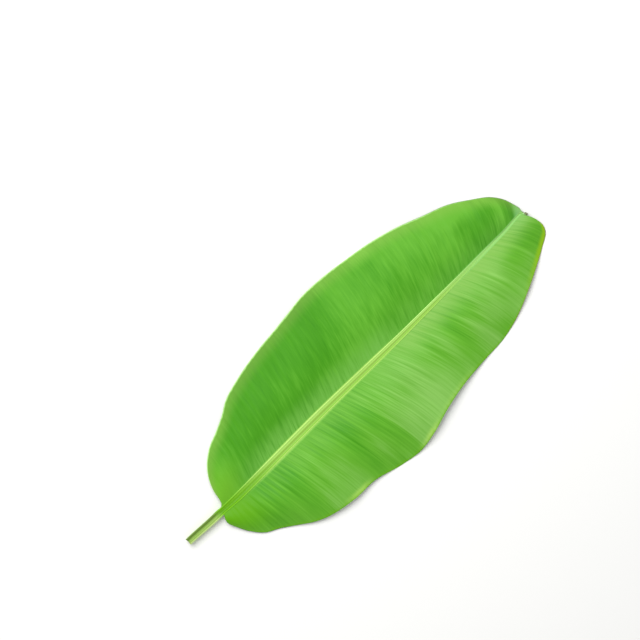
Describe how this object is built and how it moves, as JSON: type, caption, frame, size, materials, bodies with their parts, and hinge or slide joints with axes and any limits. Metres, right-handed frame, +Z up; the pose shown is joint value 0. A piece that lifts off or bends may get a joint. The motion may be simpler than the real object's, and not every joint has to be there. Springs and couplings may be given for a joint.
{
  "type": "banana leaf",
  "caption": "Whole fresh banana leaf with a short cut stalk, lying face up: glossy green blade with pleated side veins and a waved edge, pale grooved midrib, brown dried tip.",
  "frame": {"origin": "middle of the box seen from above, on the surface that the leaf lies on, which is on the flat land of the midrib's keel", "axes": "+X along the midrib towards the tip, +Y towards the leaf's left half with its upper face up, +Z up out of the upper face"},
  "size_m": [0.9022, 0.3684, 0.0275],
  "materials": {
    "leaf_green": "fresh leaf, waxy and softly glossy above, paler and duller below"
  },
  "bodies": {
    "root": {"banana_leaf": "leaf_green"}
  },
  "joints": []
}
